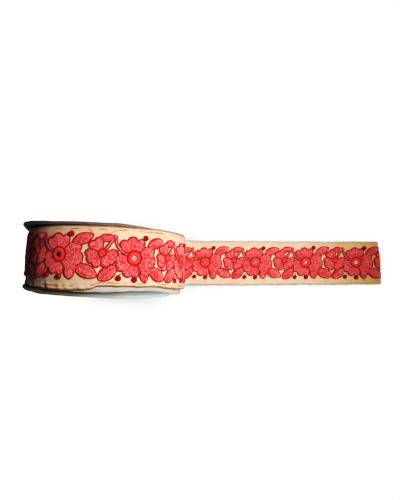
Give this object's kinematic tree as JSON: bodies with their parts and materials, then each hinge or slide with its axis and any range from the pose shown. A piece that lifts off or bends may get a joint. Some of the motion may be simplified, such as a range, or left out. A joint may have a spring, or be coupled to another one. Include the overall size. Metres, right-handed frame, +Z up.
{
  "type": "roll of embroidered mirror trim on a card spool",
  "caption": "Wide cream cloth trim with a raised red floral band and small round mirrors, wound on a flat card spool, its loose end run out flat.",
  "frame": {"origin": "under the middle of the roll and its loose end together, on the surface that the discs and the loose end rest on", "axes": "+X along the loose end, away from the roll; +Y along the roll's own axis, towards the back disc; +Z up"},
  "size_m": [0.378, 0.073, 0.1537],
  "materials": {
    "cloth": "plain woven cream cloth with browned edges",
    "card": "bare grey-blue card, matt",
    "stitches": "coral red chain stitch with dark crimson outlines",
    "mirror": "small silvered glass"
  },
  "bodies": {
    "root": {"wound_roll": "cloth", "loose_end": "cloth", "card_disc_back": "card", "card_disc_front": "card", "embroidery_01": "stitches", "embroidery_02": "stitches", "embroidery_03": "stitches", "embroidery_04": "stitches", "embroidery_05": "stitches", "embroidery_06": "stitches", "embroidery_07": "stitches", "embroidery_08": "stitches", "embroidery_09": "stitches", "embroidery_10": "stitches", "embroidery_11": "stitches", "embroidery_12": "stitches", "embroidery_13": "stitches", "embroidery_14": "stitches", "mirror_01": "mirror", "mirror_02": "mirror", "mirror_03": "mirror", "mirror_04": "mirror", "mirror_05": "mirror", "mirror_06": "mirror", "mirror_07": "mirror", "mirror_08": "mirror", "mirror_09": "mirror", "mirror_10": "mirror", "mirror_11": "mirror", "mirror_12": "mirror", "mirror_13": "mirror"}
  },
  "joints": []
}
